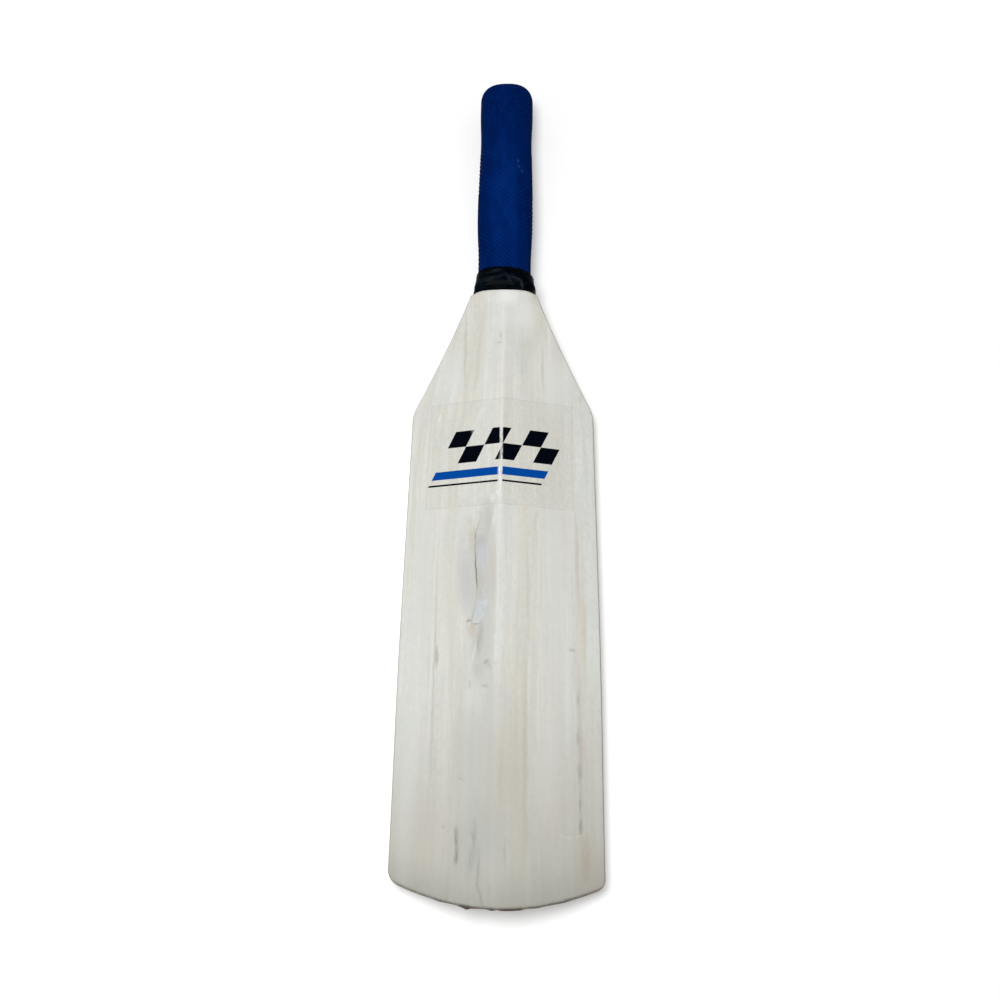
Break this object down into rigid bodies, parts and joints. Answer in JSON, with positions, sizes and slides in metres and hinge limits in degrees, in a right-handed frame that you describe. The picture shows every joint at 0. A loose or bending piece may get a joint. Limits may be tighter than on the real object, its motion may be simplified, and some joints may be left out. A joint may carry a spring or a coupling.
{
  "type": "rounders bat",
  "caption": "Flat-bladed wooden rounders bat with a ridged back, sloping shoulders, a ribbed rubber grip taped at the neck and a clear label over the ridge.",
  "frame": {"origin": "on the flat hitting face's plane, halfway along the bat and midway across it, which is the bottom centre of its box", "axes": "+Y along the bat from toe to butt, +Z from the hitting face up through the ridge of the back, +X to the right when the butt points away"},
  "size_m": [0.0964, 0.46, 0.0265],
  "materials": {
    "pale_wood": "finely sanded pale wood with faint straight grain, nearly matt",
    "wood_filler": "grey wood filler, sanded flush, matt",
    "grip_rubber": "moulded dark blue rubber with fine slanting ribs, satin",
    "pvc_tape": "black PVC tape, stretched and wrinkled, semi-gloss",
    "clear_film": "thin clear label film, glossy"
  },
  "bodies": {
    "root": {"blade": "pale_wood", "knot_filler": "wood_filler", "rubber_grip": "grip_rubber", "neck_tape": "pvc_tape", "label": "clear_film"}
  },
  "joints": []
}
